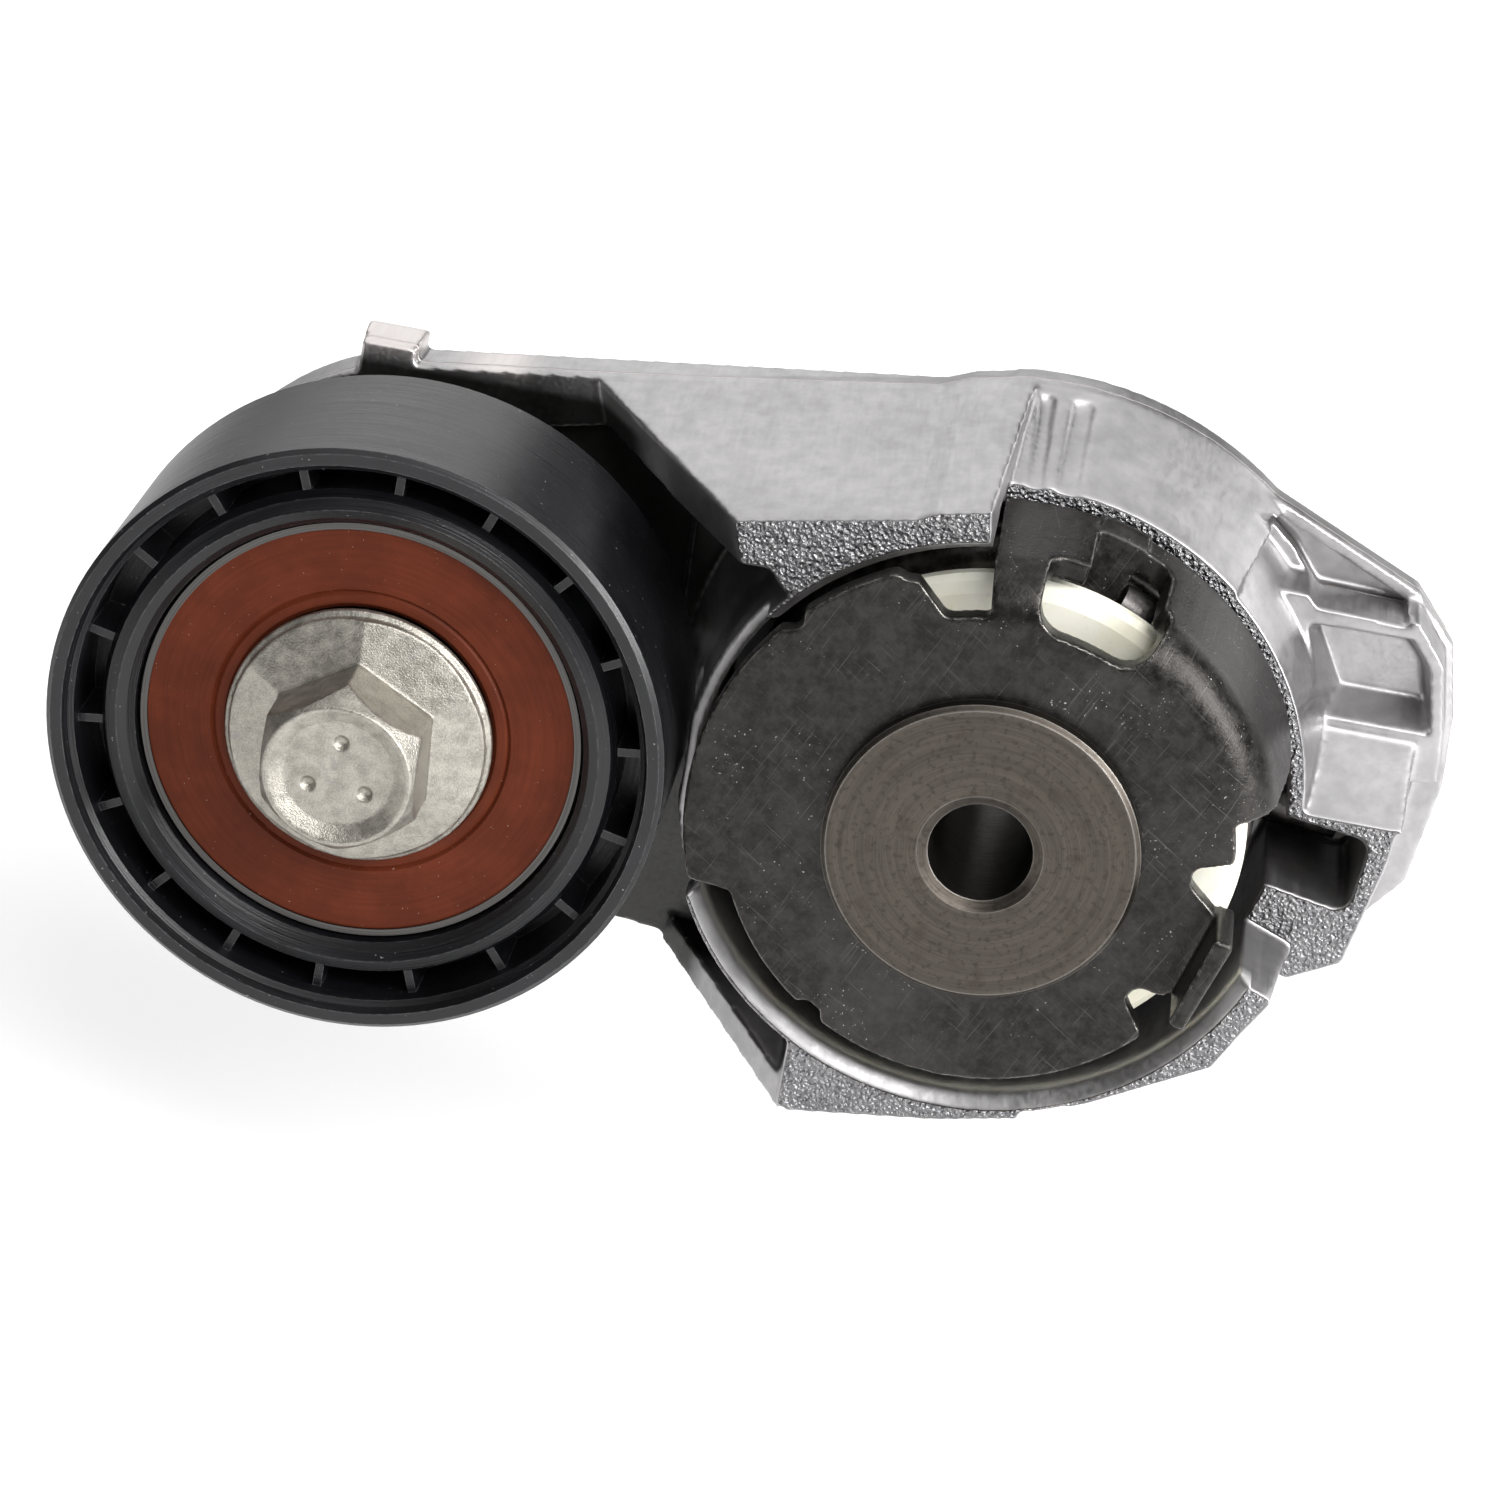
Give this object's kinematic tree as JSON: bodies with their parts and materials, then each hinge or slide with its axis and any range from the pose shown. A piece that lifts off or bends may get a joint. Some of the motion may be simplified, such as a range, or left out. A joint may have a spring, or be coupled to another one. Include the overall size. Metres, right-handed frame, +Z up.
{
  "type": "belt tensioner",
  "caption": "Spring-loaded belt tensioner: a cast arm turns on a hollow pivot shaft and carries a smooth pulley on a sealed ball bearing.",
  "frame": {"origin": "on the pivot axis, in the plane of the hub's end face, where the part is bolted to the engine", "axes": "+Y from the hub's face along the pivot shaft to the arm's back, +Z upwards, -X from the pivot towards the pulley"},
  "size_m": [0.145, 0.0554, 0.0768],
  "materials": {
    "cast_aluminium": "die-cast, slightly rough",
    "phosphated_steel": "dark phosphate, matt",
    "turned_steel": "turned",
    "spring_steel": "dark, satin",
    "nylon": "satin",
    "black_nylon": "turned, satin",
    "seal_rubber": "satin",
    "bearing_steel": "ground",
    "zinc_flake": "matt zinc-flake coat",
    "bronze": "sintered"
  },
  "bodies": {
    "base": {"pivot_shaft": "turned_steel", "base_plate": "phosphated_steel", "spring_guide": "nylon", "thrust_washer": "turned_steel", "friction_washer": "nylon", "end_washer": "turned_steel", "torsion_spring": "spring_steel"},
    "arm": {"arm_housing": "cast_aluminium", "pivot_bush_front": "bronze", "pivot_bush_rear": "bronze", "thread_insert": "bearing_steel", "pulley_bolt": "zinc_flake", "bearing_sleeve": "bearing_steel", "dust_shield": "zinc_flake", "bearing_inner_ring": "bearing_steel"},
    "pulley": {"pulley_rim": "black_nylon", "bearing_outer_ring": "bearing_steel", "seal_front": "seal_rubber", "seal_rear": "seal_rubber"},
    "ball_cage": {"bearing_balls": "bearing_steel", "bearing_cage": "black_nylon"}
  },
  "joints": [
    {"name": "arm_pivot", "type": "hinge", "parent": "base", "child": "arm", "pos_m": [0, 0, 0], "axis": [0, -1, 0], "range_deg": [0, 37], "stiffness_Nm_per_rad": 17, "springref_deg": -40.11, "deforming": ["torsion_spring"]},
    {"name": "pulley_spin", "type": "hinge", "parent": "arm", "child": "pulley", "pos_m": [-0.065, 0, 0], "axis": [0, -1, 0], "continuous": true},
    {"name": "cage_spin", "type": "hinge", "parent": "arm", "child": "ball_cage", "pos_m": [-0.065, 0, 0], "axis": [0, -1, 0], "continuous": true}
  ],
  "couplings": [
    {"joint": "cage_spin", "follows": "pulley_spin", "ratio": 0.6364}
  ]
}
